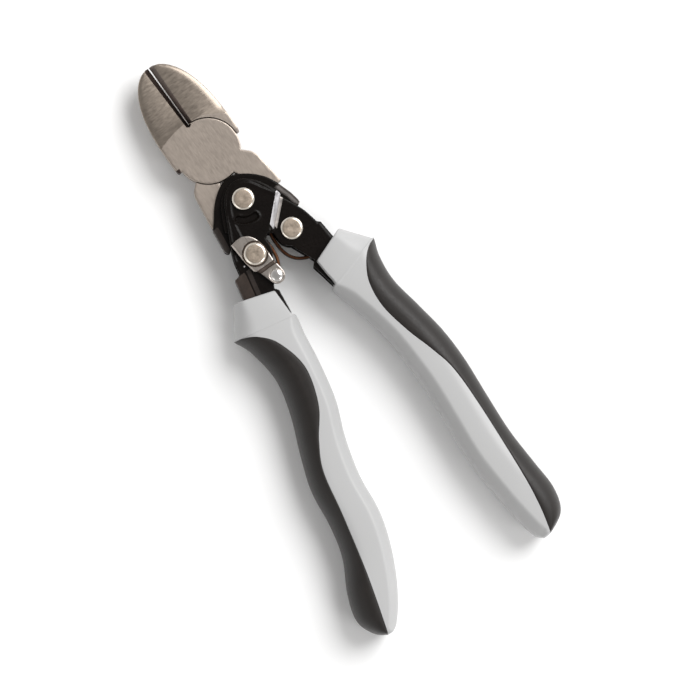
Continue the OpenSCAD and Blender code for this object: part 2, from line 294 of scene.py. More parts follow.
def triangulated(points, edges, solid):
    """The points in use and their triangles, all wound alike, over the solid part of a plan."""
    made = geometry.delaunay_2d_cdt([Vector(p) for p in points], edges, [], 0, 1e-5)
    p = np.array([tuple(v) for v in made[0]])
    triangles = np.array([f for f in made[2] if len(f) == 3])
    triangles = triangles[solid(p[triangles].mean(1))]
    a, b, c = (p[triangles[:, k]] for k in range(3))
    area = (b[:, 0] - a[:, 0]) * (c[:, 1] - a[:, 1]) - (b[:, 1] - a[:, 1]) * (c[:, 0] - a[:, 0])
    triangles = triangles[np.abs(area) > 1e-9]
    area = area[np.abs(area) > 1e-9]
    triangles[area < 0] = triangles[area < 0][:, ::-1]
    used = np.unique(triangles)
    index = np.full(len(p), -1)
    index[used] = np.arange(len(used))
    return p[used], index[triangles]


def walled(p, triangles, top, bottom):
    """Vertices, faces and border of a front and a back over the same plan, joined by walls of three bands."""
    edges = dict.fromkeys((int(t[k]), int(t[(k + 1) % 3])) for t in triangles for k in range(3))
    border = [(i, j) for i, j in edges if (j, i) not in edges]
    n = len(p)
    ring = np.unique(border)
    upper = np.full(n, -1)
    upper[ring] = 2 * n + np.arange(len(ring))
    lower = upper + len(ring)
    step = np.minimum(0.35, 0.3 * (top - bottom))
    levels = [(p, top), (p, bottom), (p[ring], (top - step)[ring]), (p[ring], (bottom + step)[ring])]
    vertices = np.concatenate([np.column_stack(pair) for pair in levels])
    faces = [tuple(t) for t in triangles] + [tuple(t[::-1] + n) for t in triangles]
    faces += [(j, i, upper[i], upper[j]) for i, j in border]
    faces += [(upper[j], upper[i], lower[i], lower[j]) for i, j in border]
    faces += [(lower[j], lower[i], i + n, j + n) for i, j in border]
    return vertices, [[int(i) for i in f] for f in faces], border


def plate(outline, front, back, cell, edge, holes=(), creases=(), paint=None):
    """A sheet or block whose front and back are heights over x and y, with rounded rims.

    front and back take points and return heights; edge is the rim's radius, a number or such a function.
    creases are lines that the triangles follow. paint takes points and says each front face's finish.
    """
    radius = edge if callable(edge) else (lambda p: np.full(len(p), float(edge)))
    back_radius = 0.2 if callable(edge) else edge
    loops = [resampled(outline, cell)] + [resampled(h, cell) for h in holes]

    def solid(p):
        keep = inside(p, outline)
        for hole in holes:
            keep &= ~inside(p, hole)
        return keep

    def depth(p):
        return np.min([distance(p, loop, closed=True) for loop in loops], axis=0)

    edges = []
    count = 0
    for loop in loops:
        n = len(loop)
        edges += [(count + k, count + (k + 1) % n) for k in range(n)]
        count += n
    lines, line_edges = crease_points(creases, cell, solid, depth, count)
    points = loops + lines + ring_points(loops, radius, solid, depth)
    points.append(grid_points(loops[0], cell, radius, solid, depth))
    p, triangles = triangulated(np.concatenate(points), edges + line_edges, solid)
    d = depth(p)

    def rounding(size):
        gap = np.clip(1 - d / np.maximum(size, 1e-6), 0, 1)
        return size * (1 - np.sqrt(1 - gap * gap))

    top = front(p) - rounding(radius(p))
    bottom = np.minimum(back(p) + rounding(back_radius), top - 0.02)
    vertices, faces, border = walled(p, triangles, top, bottom)
    marks = np.zeros(len(faces), int)
    if paint is not None:
        marks[: len(triangles)] = paint(p[triangles].mean(1))
        marks[2 * len(triangles):] = np.tile(paint(p[np.array(border)].mean(1)), 3)
    wear = np.exp(-d / WEAR_FADE)
    wear = np.concatenate([wear, wear, np.full(len(vertices) - 2 * len(p), WALL_WEAR)])
    return Shape().add(vertices, faces, marks, wear)


def bore(centre, radius):
    """Outline of a round hole."""
    return arc(centre, radius, 0, 360, 32)[:-1]


def level(height):
    """A flat front or back for plate()."""
    return lambda p: np.full(len(p), float(height))


def lathe(centre, profile, steps):
    """A solid turned about an upright axis. profile runs from the axis out and back to the axis."""
    vertices = [(centre[0], centre[1], profile[0][1])]
    for r, z in profile[1:-1]:
        vertices += [(x, y, z) for x, y in arc(centre, r, 0, 360, steps)[:-1]]
    vertices.append((centre[0], centre[1], profile[-1][1]))
    last = 1 + (len(profile) - 3) * steps
    faces = []
    for k in range(steps):
        beside = (k + 1) % steps
        faces.append([0, 1 + k, 1 + beside])
        for ring in range(1, last, steps):
            above = ring + steps
            faces.append([ring + k, above + k, above + beside, ring + beside])
        faces.append([last + k, len(vertices) - 1, last + beside])
    return Shape().add(vertices, faces)


def tube_faces(rows, n):
    """Faces that join rows of n vertices each, closed at both ends."""
    faces = [
        [i * n + k, i * n + (k + 1) % n, (i + 1) * n + (k + 1) % n, (i + 1) * n + k]
        for i in range(rows - 1)
        for k in range(n)
    ]
    return faces + [list(range(n))[::-1], [(rows - 1) * n + k for k in range(n)]]


def sweep(path, across, heights, marks=None):
    """A strip along a path in plan, its section given as offsets across and heights.

    marks says the finish of each segment of the section.
    """
    p = np.asarray(path, float)
    tangent = np.gradient(p, axis=0)
    tangent /= np.linalg.norm(tangent, axis=1)[:, None]
    normal = np.stack([-tangent[:, 1], tangent[:, 0]], 1)
    vertices = [(*(at + out * a), h) for at, out in zip(p, normal) for a, h in zip(across, heights)]
    faces = [f[::-1] for f in tube_faces(len(p), len(across))]
    paint = 0 if marks is None else list(marks) * (len(p) - 1) + [0, 0]
    return Shape().add(vertices, faces, paint)


def rounded_box(width, low, high, radius):
    """Offsets and heights of an upright rounded rectangle, for sweep()."""
    side, top, bottom = width / 2 - radius, high - radius, low + radius
    points = []
    for x, z, start in ((side, top, 0), (-side, top, 90), (-side, bottom, 180), (side, bottom, 270)):
        points += arc((x, z), radius, start, start + 90, 3)
    return [q[0] for q in points], [q[1] for q in points]


# ---------------------------------------------------------------- materials


def add_node(tree, kind, **values):
    """A new node. Each value goes to the input of that name, or to the setting where there is none."""
    n = tree.nodes.new(kind)
    for key, value in values.items():
        name = key.replace("_", " ")
        if name in n.inputs:
            n.inputs[name].default_value = value
        else:
            setattr(n, key, value)
    return n


def shade(colour, factor):
    return tuple(min(1.0, c * factor) for c in colour[:3]) + (1.0,)


def srgb(red, green, blue):
    """Linear colour from display values of 0 to 255."""
    linear = [v / 255 / 12.92 if v <= 10 else ((v / 255 + 0.055) / 1.055) ** 2.4 for v in (red, green, blue)]
    return (*linear, 1.0)


def ranged(tree, value, start, end, low=0.0, high=1.0):
    """A value carried from the span start to end into the span low to high."""
    n = add_node(tree, "ShaderNodeMapRange", From_Min=start, From_Max=end, To_Min=low, To_Max=high)
    tree.links.new(value, n.inputs["Value"])
    return n.outputs["Result"]


def noise(tree, vector, scale, detail, roughness=0.5):
    n = add_node(tree, "ShaderNodeTexNoise", Scale=scale, Detail=detail, Roughness=roughness)
    tree.links.new(vector, n.inputs["Vector"])
    return n.outputs["Fac"]


def worn_rims(tree, where, tone, worn, amount):
    """The tone, chipped to the worn colour along the rims."""
    rim = add_node(tree, "ShaderNodeAttribute", attribute_name="rim")
    product = add_node(tree, "ShaderNodeMath", operation="MULTIPLY")
    tree.links.new(rim.outputs["Fac"], product.inputs[0])
    tree.links.new(noise(tree, where, 1600.0, 3.0), product.inputs[1])
    chip = ranged(tree, product.outputs["Value"], 0.6 - 0.4 * amount, 0.75 - 0.4 * amount)
    mix = add_node(tree, "ShaderNodeMix", data_type="RGBA")
    mix.inputs[7].default_value = worn
    tree.links.new(chip, mix.inputs[0])
    tree.links.new(tone, mix.inputs[6])
    return mix.outputs[2]


def finish(name, colour, roughness, metallic, grain, spread, blotch, blotch_spread, bump=0.000006,
           rough_spread=0.06, worn=None, worn_amount=0.5, sheen=0.0, specular=0.5):
    """A procedural finish: fine grain and broad blotches in colour and roughness, relief, and worn rims."""
    material = bpy.data.materials.new(name)
    material.use_nodes = True
    tree = material.node_tree
    link = tree.links.new
    shader = tree.nodes["Principled BSDF"]
    shader.inputs["Metallic"].default_value = metallic
    shader.inputs["Specular IOR Level"].default_value = specular
    shader.inputs["Sheen Weight"].default_value = sheen
    shader.inputs["Sheen Roughness"].default_value = 0.5
    where = add_node(tree, "ShaderNodeTexCoord").outputs["Object"]
    stretch = add_node(tree, "ShaderNodeMapping", Scale=grain)
    link(where, stretch.inputs["Vector"])
    fine = noise(tree, stretch.outputs["Vector"], 1.0, 4.0, 0.6)
    broad = noise(tree, where, blotch, 3.0)
    tint = add_node(tree, "ShaderNodeMix", data_type="RGBA")
    tint.inputs[6].default_value = shade(colour, 1 - spread)
    tint.inputs[7].default_value = shade(colour, 1 + spread)
    link(fine, tint.inputs[0])
    toned = add_node(tree, "ShaderNodeVectorMath", operation="SCALE")
    link(tint.outputs[2], toned.inputs[0])
    link(ranged(tree, broad, 0.3, 0.7, 1 - blotch_spread, 1 + blotch_spread), toned.inputs["Scale"])
    tone = toned.outputs["Vector"]
    if worn is not None:
        tone = worn_rims(tree, where, tone, worn, worn_amount)
    link(tone, shader.inputs["Base Color"])
    rough = ranged(tree, fine, 0.3, 0.7, roughness - rough_spread, roughness + rough_spread)
    link(rough, shader.inputs["Roughness"])
    relief = add_node(tree, "ShaderNodeBump", Strength=1.0, Distance=bump)
    link(fine, relief.inputs["Height"])
    link(relief.outputs["Normal"], shader.inputs["Normal"])
    return material


HUB_STEEL = finish("hub_steel", srgb(169, 158, 148), 0.42, 1.0, grain=(400, 2600, 900), spread=0.2,
                   blotch=140, blotch_spread=0.04, worn=srgb(205, 196, 188), worn_amount=0.4)
BLADE_STEEL = finish("blade_steel", srgb(153, 142, 131), 0.36, 1.0, grain=(2300, 420, 900), spread=0.28,
                     rough_spread=0.07, bump=0.000008, blotch=110, blotch_spread=0.06,
                     worn=srgb(215, 206, 197))
# painted shade: the left jaw's bevel and notch are darkened to stand for the shaded V groove and the shadow
# gap
SHADED_BEVEL_STEEL = finish("shaded_bevel_steel", srgb(68, 58, 54), 0.4, 1.0, grain=(2400, 500, 500), spread=0.2,
                     blotch=200, blotch_spread=0.15)
HONED_STEEL = finish("honed_steel", srgb(142, 132, 126), 0.5, 0.9, grain=(2400, 500, 500), spread=0.2,
                     blotch=200, blotch_spread=0.12)
BLACK_SHEET = finish("black_sheet", srgb(13, 9, 7), 0.3, 0.0, grain=(1500, 1500, 1500), spread=0.2,
                     blotch=160, blotch_spread=0.25, worn=srgb(84, 76, 72), worn_amount=0.25, specular=0.12)
WEB_SHEET = finish("web_sheet", srgb(40, 32, 28), 0.36, 0.2, grain=(2200, 600, 900), spread=0.25,
                   blotch=320, blotch_spread=0.25, worn=srgb(158, 150, 142), worn_amount=0.7, specular=0.4)
WORN_SHEET = finish("worn_sheet", srgb(60, 51, 46), 0.42, 0.3, grain=(2200, 600, 900), spread=0.25,
                    blotch=320, blotch_spread=0.2, worn=srgb(140, 131, 124), worn_amount=0.55, specular=0.35)
# bare steel of the lip and stud, lightened near white as a painted highlight where they catch the light
BARE_HIGHLIT_SHEET = finish("bare_highlit_sheet", srgb(186, 184, 186), 0.45, 1.0, grain=(500, 2600, 900), spread=0.16,
                    bump=0.00001, blotch=300, blotch_spread=0.14)
# pale band on the right flange: a painted reflection of the bright lip beside it, with rubbed paint
REFLECTION_AND_RUB_SHEET = finish("reflection_and_rub_sheet", srgb(172, 166, 162), 0.5, 1.0, grain=(2200, 600, 900), spread=0.25,
                      bump=0.00001, blotch=420, blotch_spread=0.25)
NICKEL = finish("nickel", srgb(174, 160, 145), 0.4, 1.0, grain=(1700, 1700, 1700), spread=0.34,
                rough_spread=0.1, bump=0.000014, blotch=420, blotch_spread=0.1, worn=srgb(228, 219, 208))
LATCH_STEEL = finish("latch_steel", srgb(176, 168, 161), 0.3, 1.0, grain=(300, 1500, 900), spread=0.05,
                     rough_spread=0.04, bump=0.000004, blotch=220, blotch_spread=0.1,
                     worn=srgb(236, 231, 225), worn_amount=0.6)
SHADED_STEEL = finish("shaded_steel", srgb(92, 82, 76), 0.4, 1.0, grain=(300, 1500, 900), spread=0.08,
                      bump=0.000004, blotch=220, blotch_spread=0.1)
# painted highlight: a near-white copy of the nickel for the rivets' chamfer rings
HIGHLIGHT_RIM_NICKEL = finish("highlight_rim_nickel", srgb(246, 238, 226), 0.18, 1.0, grain=(2600, 2600, 2600), spread=0.06,
                    bump=0.000004, blotch=420, blotch_spread=0.06)
# polished dome, its colour lightened near white as a painted highlight
HIGHLIT_DOME_STEEL = finish("highlit_dome_steel", srgb(232, 229, 226), 0.14, 1.0, grain=(1200, 1200, 1200), spread=0.05,
                    rough_spread=0.03, bump=0.000002, blotch=300, blotch_spread=0.05)
PIN_STEEL = finish("pin_steel", srgb(150, 142, 134), 0.38, 1.0, grain=(1500, 1500, 1500), spread=0.1,
                   bump=0.00001, blotch=200, blotch_spread=0.08)
SPRING_STEEL = finish("spring_steel", srgb(108, 70, 47), 0.36, 0.85, grain=(1100, 1100, 3000), spread=0.16,
                      blotch=180, blotch_spread=0.16, worn=srgb(150, 112, 84), worn_amount=0.6)
# painted shade: a darker copy of the spring steel for the springs' edges
SHADED_SPRING_EDGE = finish("shaded_spring_edge", srgb(40, 27, 20), 0.4, 0.6, grain=(1100, 1100, 3000), spread=0.16,
                     blotch=180, blotch_spread=0.16, specular=0.3)
GRAY_SHELL = finish("gray_shell", srgb(174, 174, 174), 0.5, 0.0, grain=(2600, 2600, 2600), spread=0.015,
                    rough_spread=0.04, bump=0.000014, blotch=45, blotch_spread=0.012, sheen=0.05)
BLACK_PAD = finish("black_pad", srgb(24, 19, 16), 0.5, 0.0, grain=(1500, 1500, 1500), spread=0.4,
                   bump=0.00003, blotch=260, blotch_spread=0.16, sheen=0.14, specular=0.34)

# ---------------------------------------------------------------- jaws

BLADE_HALF = 12.6
CURVE_START = 4
CURVE_REACH = 30.3
TIP_X = BLADE_LEN - 0.02
EDGE_HALF = 0.2
BEVEL_START = HUB_R - 0.5
NOTCH_HALF = 0.7
LAP_GAP = 0.04
EYE_R = 4.6


def turned(points, angle):
    """Points turned about the jaw pivot."""
    c, s = math.cos(angle), math.sin(angle)
    return [(x * c - y * s, x * s + y * c) for x, y in points]


def blade_edge(x):
    """Width of the blade at x, before it is turned by the gape."""
    return BLADE_HALF * math.sqrt(max(0, 1 - (max(0, x - CURVE_START) / CURVE_REACH) ** 2.5))


TIP_CURVE = [
    (TIP_X, 0), (TIP_X, 0.9), (BLADE_LEN - 0.25, 1.6), (BLADE_LEN - 0.7, blade_edge(BLADE_LEN - 0.7)),
]
BLADE_CURVE = [(x, blade_edge(x)) for x in np.arange(33, CURVE_START, -0.5)]
NOTCH_SIDE = [(0.6, 12.6), (-0.5, 12.3), (-0.5, 11)]
# The tail's outer side from the hub back, narrowed where it swings inside the link covers
TAIL_SIDE = [(-5.95, -9.25), (-8.4, -11.8), (-10, -12.5), (-20, -13.8), (-22, -14), (-22, -9.8), (-31, -9.8)]
JAW_OUTLINE = (
    turned(TIP_CURVE + BLADE_CURVE + NOTCH_SIDE, GAPE)
    + arc((0, 0), HUB_R, 94.5, 195, 34)
    + [(-15, -5), (-30, -5)]
    + arc(RIGHT_PIN, EYE_R, 60, 310, 24)
    + TAIL_SIDE[::-1]
    + arc((0, 0), HUB_R, 237.3, 360.8, 40)
)
# Lines where the ground faces start, on the front and on the back
LEFT_FACET = [(11.9 - 0.016 * y * y, y) for y in np.arange(-0.5, 12.6, 0.5)]
LAP_FACET = smooth([(11.4, -0.5), (11.3, 1.35), (10.9, 5.2), (9.4, 8.1), (7.1, 11.9), (5.8, 13.4)], 6)


def bevel_width(x):
    return 1.25 + 0.4 * (x - HUB_R) / (BLADE_LEN - HUB_R)


def bevel_side(p):
    """Distance of each point from the blade's own cutting edge."""
    return -p[:, 0] * math.sin(GAPE) + p[:, 1] * math.cos(GAPE)


def past_facet(p, facet):
    """How far each point lies beyond a facet line, towards the tip."""
    line = np.asarray(facet, float)
    edge_x = np.interp(p[:, 1], line[:, 1], line[:, 0])
    return np.maximum(0, p[:, 0] - edge_x)


def blade_part(p, start):
    """Whether each point lies on the blade's side of the edge and beyond start."""
    return (p[:, 0] > start) & (p[:, 1] > -0.2)


def blade_height(p, facet):
    """Half thickness of the ground blade: hollow behind the facet line, then a long taper, then the bevel."""
    reach = past_facet(p, facet)
    face = JAW_TOP - 0.7 * (1 - np.exp(-reach / 4.0)) - 0.032 * reach
    full = np.maximum([blade_edge(x) for x in p[:, 0]], 1)
    crown = np.maximum(0, p[:, 1] / full - 0.8) / 0.2
    hollow = 1 - np.clip(p[:, 1] / (0.74 * full), 0, 1)
    face = face - np.where(reach > 0, (0.36 * crown ** 2 + 0.3 * hollow ** 2) * ramp(reach / 3), 0)
    side = bevel_side(p)
    width = bevel_width(p[:, 0])
    bevel = EDGE_HALF + (face - EDGE_HALF) * np.clip(side / width, 0, 1)
    return np.where((p[:, 0] > BEVEL_START - 0.1) & (side < width), bevel, face)


def jaw_front(p):
    return np.where(blade_part(p, BEVEL_START - 0.1), blade_height(p, LEFT_FACET), JAW_TOP)


def jaw_back(p):
    """The back stops at the middle plane where the other jaw's lap lies."""
    under = np.hypot(p[:, 0], p[:, 1]) < LAP_R
    ground = np.where(blade_part(p, CURVE_START), -blade_height(p, LAP_FACET), -JAW_TOP)
    return np.where(under, LAP_GAP, ground)


def jaw_paint(facet):
    """Says where a jaw is ground (1), where it is its bevel or notch (2) and where it is plain (0). On the
    left jaw, 2 gets painted shade: the dark V of the cutting edge and the shadow gap at the notch.
    """
    def paint(p):
        ground = (past_facet(p, facet) > 0) & (p[:, 1] > -0.2)
        bevel = blade_part(p, BEVEL_START) & (bevel_side(p) < bevel_width(p[:, 0]))
        notch = (np.abs(p[:, 0]) < NOTCH_HALF) & (p[:, 1] > LAP_R)
        return np.where(bevel | notch, 2, np.where(ground, 1, 0))
    return paint


def jaw_shape():
    creases = [LEFT_FACET, LAP_FACET]
    creases.append(turned([(x, bevel_width(x)) for x in (BEVEL_START, BLADE_LEN + 1)], GAPE))
    creases.append([(BEVEL_START, 0), (BEVEL_START, bevel_width(BEVEL_START))])
    creases.append([(NOTCH_HALF, LAP_R), (NOTCH_HALF, 13)])
    creases += [arc((0, 0), LAP_R + gap, 0, 360, 120) for gap in (-0.02, 0.02)]
    shape = plate(JAW_OUTLINE, jaw_front, jaw_back, 0.55, 0.22, creases=creases, paint=jaw_paint(LEFT_FACET))
    # the triangles of the back take their finish from the back's own facet line
    vertices = np.array(shape.vertices)
    paint_back = jaw_paint(LAP_FACET)
    for k, face in enumerate(shape.faces):
        points = vertices[face]
        if len(face) == 3 and points[:, 2].max() < 0.03:
            shape.paint[k] = int(paint_back(points[:, :2].mean(0)[None])[0])
    return shape


jaw = jaw_shape()
# the left jaw's bevel and notch carry painted shade; the right jaw's carry honed steel
jaw.piece("left_jaw_forging", [HUB_STEEL, BLADE_STEEL, SHADED_BEVEL_STEEL], "left_jaw_body", ["left_jaw"],
          "ground_steel")
jaw.turned_over().piece("right_jaw_forging", [HUB_STEEL, BLADE_STEEL, HONED_STEEL], "right_jaw_body",
                        ["right_jaw"], "ground_steel")

# ---------------------------------------------------------------- link covers

COVER_ARCH = smooth(
    [(-11.2, 0), (-11.3, 1.9), (-12.5, 4.4), (-14.5, 7.2), (-17, 9.7), (-20, 12), (-22.6, 14.3)], 6)
COVER_CORNER = [(-30.6, 15.2), (-31.5, 14.9), (-31.9, 14.2), (-31.6, 13.4), (-30.4, 12.4)]
LEFT_WEB = [(-22.6, 14.3), (-30.6, 15.2)]
RIGHT_WEB = [(-21.6, -12.5), (-23.6, -13.2), (-27.2, -14.4), (-30.4, -15)]
# The right web starts further in, in place of the arch's last points
RIGHT_ARCH = mirrored(COVER_ARCH)[1:-9]
COVER_OUTLINE = (
    COVER_ARCH + COVER_CORNER + mirrored(COVER_CORNER[1:])[::-1] + RIGHT_WEB[::-1] + RIGHT_ARCH[::-1]
)
ROLL = 2.1
WALL_INSET = 0.5


def from_web(p):
    """Distance of each point from the nearer of the cover's two side walls."""
    return np.minimum(distance(p, LEFT_WEB), distance(p, RIGHT_WEB))


def web_roll(p):
    """Height lost where the cover rolls over into its side walls."""
    t = np.clip(1 - from_web(p) / ROLL, 0, 1)
    return 0.9 * t ** 2 * ramp((-22.2 - p[:, 0]) / 1.2)


def cover_shape():
    shape = plate(
        COVER_OUTLINE,
        lambda p: COVER_TOP - web_roll(p),
        lambda p: COVER_TOP - COVER_T - web_roll(p),
        cell=0.5,
        edge=lambda p: np.where(from_web(p) < 1, 0.5, 0.28),
        holes=[bore(FULCRUM, 2.2)],
        creases=[parallel(LEFT_WEB, ROLL), parallel(RIGHT_WEB, -ROLL)],
        paint=lambda p: np.where((from_web(p) < ROLL) & (p[:, 0] < -22.6), 1, 0),
    )
    for web, inset in ((LEFT_WEB, WALL_INSET), (RIGHT_WEB[1:], -WALL_INSET)):
        line = parallel(resampled(web, 1, closed=False), inset)
        shape.merge(sweep(line, *rounded_box(COVER_T, 0, COVER_TOP - 1.2, 0.12)))
    return shape


cover = cover_shape()
cover.piece(
    "front_cover_pressing", [BLACK_SHEET, WEB_SHEET], "link_housing", ["front_link_cover"], "black_sheet")
cover.on_back().piece(
    "back_cover_pressing", [BLACK_SHEET, WEB_SHEET], "link_housing", ["back_link_cover"], "black_sheet")

# ---------------------------------------------------------------- handle channels

# Both channels are drawn on the left side; the right one is mirrored when it is made
LEFT_BACK = [(-40.4, 17.9), (-47.2, 19.3), (-56, 21.5), (-75, 21.8), (-92, 25), (-106, 31.4)]
LEFT_FRONT = [(-50.2, 8.9), (-51.5, 7.9), (-59.8, 8.9), (-66, 13), (-75, 14.4), (-92, 17.8), (-106, 24.4)]
RIGHT_BACK = [(-41, 16.7), (-47.2, 17.2), (-56, 19.6), (-71, 20.4), (-88, 22), (-106, 23.4)]
RIGHT_FRONT = [(-50.2, 7.6), (-51.9, 6.1), (-60.7, 7.9), (-71, 12.6), (-88, 14.9), (-106, 16.4)]
FLANGE_ARCH = smooth(
    [(-25.6, -11.4), (-21, -9.3), (-17.2, -7), (-14.3, -3.7), (-13.4, -0.6), (-14.5, 3), (-17.2, 5.8),
     (-20.6, 7.7), (-25, 9.9), (-31, 12.9), (-35, 14.5), (-40, 15.6)], 6)
LUG_R = 5.9
STRIP_LINE = [(-25.6, -11.4), (-33.9, -2.8)]
STRIP_WIDTH = 1.75
REFLECTION_BAND_LINE = [(-25.95, 11.6), (-34.0, 3.0)]
RIDGE = smooth(
    [(-33.5, 8.9), (-29.6, 8.2), (-23.7, 7.1), (-18.6, 4.6), (-15.6, 1.4), (-15.2, -1.6), (-17, -4.8),
     (-20.8, -7.2), (-24.6, -9.6)], 5)
PLATEAU = RIDGE + [(-33.9, -2.8), (-60, -2), (-60, 60), (-33.5, 60)]
SLOT_CENTRE = FULCRUM + (-0.7, 0.5)
SLOT_R = 6.2
SLOT_FROM = 130
SLOT_TO = 184
SLOT_HALF = 1.2
SLOT_MID = arc(SLOT_CENTRE, SLOT_R, SLOT_FROM, SLOT_TO, 12)
STUD = np.array([-38.5, 12.8])
NECK_END = -47.2


def slot_outline(half):
    """Closed outline of the curved slot, with round ends."""
    near = arc(SLOT_CENTRE, SLOT_R - half, SLOT_FROM, SLOT_TO, 12)
    far = arc(SLOT_CENTRE, SLOT_R + half, SLOT_TO, SLOT_FROM, 14)
    far_end = arc(SLOT_MID[-1], half, SLOT_TO - 180, SLOT_TO, 8)[1:-1][::-1]
    near_end = arc(SLOT_MID[0], half, SLOT_FROM, SLOT_FROM + 180, 8)[1:-1]
    return near + far_end + far + near_end + near[:1]


def flange(back, front):
    lug = arc(LEFT_PIN, LUG_R, 215, 270, 8)
    return FLANGE_ARCH + back + front[::-1] + lug + [(-34.9, 1.6), (-33.9, -0.2), STRIP_LINE[1]]


def from_neck(p, back):
    """Distance of each point from the wall's bend at the neck."""
    return distance(p, back[:3])


def left_flange_top(p):
    height = np.full(len(p), OUTER_TOP)
    # pressed step along the arch
    out = distance(p, RIDGE)
    low = ~inside(p, PLATEAU) & (p[:, 0] > -36)
    height -= 0.28 + np.where(low, 0.26 * ramp(out / 1.1), 0)
    # lip turned down towards the other handle
    turn = 1 - np.clip(distance(p, STRIP_LINE) / 1.7, 0, 1)
    height -= 0.9 * turn * (p[:, 1] < -1.4)
    # slot pressed beside the fulcrum
    to_slot = distance(p, SLOT_MID) - SLOT_HALF
    height -= 0.75 * ramp(-to_slot / 0.35)
    # beads along the step, round the slot and along the arch
    height += 0.24 * ramp(1 - out / 1.0)
    height += 0.24 * ramp(1 - np.abs(to_slot - 0.35) / 0.4)
    rim = distance(p, FLANGE_ARCH)
    height += np.where(p[:, 0] > -36, 0.22 * ramp(1 - np.abs(rim - 0.5) / 0.7), 0)
    # neck that slopes down to the wall
    neck = np.clip(1 - from_neck(p, LEFT_BACK) / 4.2, 0, 1)
    height -= 1.2 * neck ** 1.2 * ramp((-39.5 - p[:, 0]) / 1.2)
    # small stud
    height += 0.2 * ramp(1.2 - np.linalg.norm(p - STUD, axis=1) / 0.5)
    return height


def neck_band(p, reach):
    return (from_neck(p, LEFT_BACK) < reach) & (p[:, 0] < -40.2)


def left_flange_paint(p):
    """Strip and stud (1), bare steel lightened as a painted highlight, then two bands of the neck with a black
    line between them (2, 3).
    """
    strip = (distance(p, STRIP_LINE) < STRIP_WIDTH) & (p[:, 1] < -2.3) & (p[:, 1] > -11)
    stud = np.linalg.norm(p - STUD, axis=1) < 0.3
    bands = np.where(neck_band(p, 4), 2, np.where(neck_band(p, 6) & ~neck_band(p, 4.5), 3, 0))
    return np.where(strip | stud, 1, bands)


def right_flange_top(p):
    across = distance(p, REFLECTION_BAND_LINE)
    return INNER_TOP - 0.12 * ramp((0.7 - across) / 0.15)


def right_flange_paint(p):
    # the pale band beside the other handle's lip is a painted reflection of that lip, with rubbed paint
    band = (distance(p, REFLECTION_BAND_LINE) < 0.6) & (p[:, 1] > 3.4) & (p[:, 1] < 11.4)
    return np.where(band, 1, 0)


def left_creases():
    lines = [parallel(RIDGE, gap) for gap in (-1.05, -0.7, -0.35, 0, 0.35, 0.7, 1.05)]
    lines += [parallel(FLANGE_ARCH, gap) for gap in (-0.25, -0.5, -0.85, -1.2)]
    lines += [slot_outline(SLOT_HALF + gap) for gap in (-0.35, 0, 0.35, 0.7)]
    lines += [parallel(STRIP_LINE, -STRIP_WIDTH), arc(STUD, 0.3, 0, 360, 12)]
    return lines + [parallel(LEFT_BACK[:3], gap) for gap in (4, 4.5, 6)]


def channel_shape(back, front, top, height, paint, creases, cell):
    """Front flange, a plain back flange, and the wall between them, painted at the neck like the flange."""
    outline = flange(back, front)
    holes = [bore(FULCRUM, 2.28), bore(LEFT_PIN, 2.2)]
    base = level(top - SHEET_T)

    def edge(p):
        """Radius of the rim: small on the cut edges, large where the sheet turns into the wall."""
        return np.where(distance(p, back) < 1.3, 1.0, 0.3)

    shape = plate(outline, height, base, cell, edge, holes, creases, paint)
    shape.merge(plate(outline, level(top), base, 1.1, edge, holes).on_back())
    wall = parallel(smooth(back, 4), SHEET_T / 2)
    side = sweep(wall, *rounded_box(SHEET_T, -top + 1.5, top - 1.5, 0.15))
    at = np.array([np.mean([side.vertices[i][:2] for i in f], axis=0) for f in side.faces])
    side.paint = list(np.where(at[:, 0] > NECK_END, paint(at), 0))
    return shape.merge(side)


left_channel = channel_shape(
    LEFT_BACK, LEFT_FRONT, OUTER_TOP, left_flange_top, left_flange_paint, left_creases(), cell=0.4)
left_channel.piece("left_channel", [BLACK_SHEET, BARE_HIGHLIT_SHEET, WORN_SHEET, WEB_SHEET], "left_handle",
                   ["left_handle_frame"], "black_sheet")
right_creases = [parallel(REFLECTION_BAND_LINE, gap) for gap in (-0.7, -0.6, 0.6, 0.7)]
right_channel = channel_shape(
    RIGHT_BACK, RIGHT_FRONT, INNER_TOP, right_flange_top, right_flange_paint, right_creases, cell=0.5)
right_channel.on_right().piece("right_channel", [BLACK_SHEET, REFLECTION_AND_RUB_SHEET], "right_handle",
                               ["right_handle_frame"], "black_sheet")

# ---------------------------------------------------------------- rivets

SHANK_R = 2.18
CHAMFER_R = 3.12


def rivet_head(at, floor):
    """Nearly flat head with a soft centre mark and a turned chamfer, standing on a height. The chamfer is
    painted near white as a highlight.
    """
    top = floor + 1.1
    profile = [
        (0, top - 0.025), (0.45, top - 0.025), (0.7, top), (1.6, top), (2.6, top - 0.02), (3.1, top - 0.05),
        (3.35, top - 0.17), (3.55, top - 0.3), (3.7, top - 0.45), (3.78, top - 0.7), (3.8, top - 0.95),
        (3.8, floor + 0.05), (3.75, floor), (0, floor),
    ]
    shape = lathe(at, profile, 96)
    middles = np.array([np.mean([shape.vertices[i][:2] for i in f], axis=0) for f in shape.faces])
    # the chamfer ring gets the near-white finish, a painted highlight
    shape.paint = [int(r > CHAMFER_R) for r in np.linalg.norm(middles - at, axis=1)]
    return shape


def rivet_shape(at, front, back):
    """A rivet whose heads stand on a front height and a back depth."""
    shank = [(0, front + 0.3), (SHANK_R, front + 0.3), (SHANK_R, -back - 0.3), (0, -back - 0.3)]
    return rivet_head(at, front).merge(rivet_head(at, back).on_back()).merge(lathe(at, shank, 32))


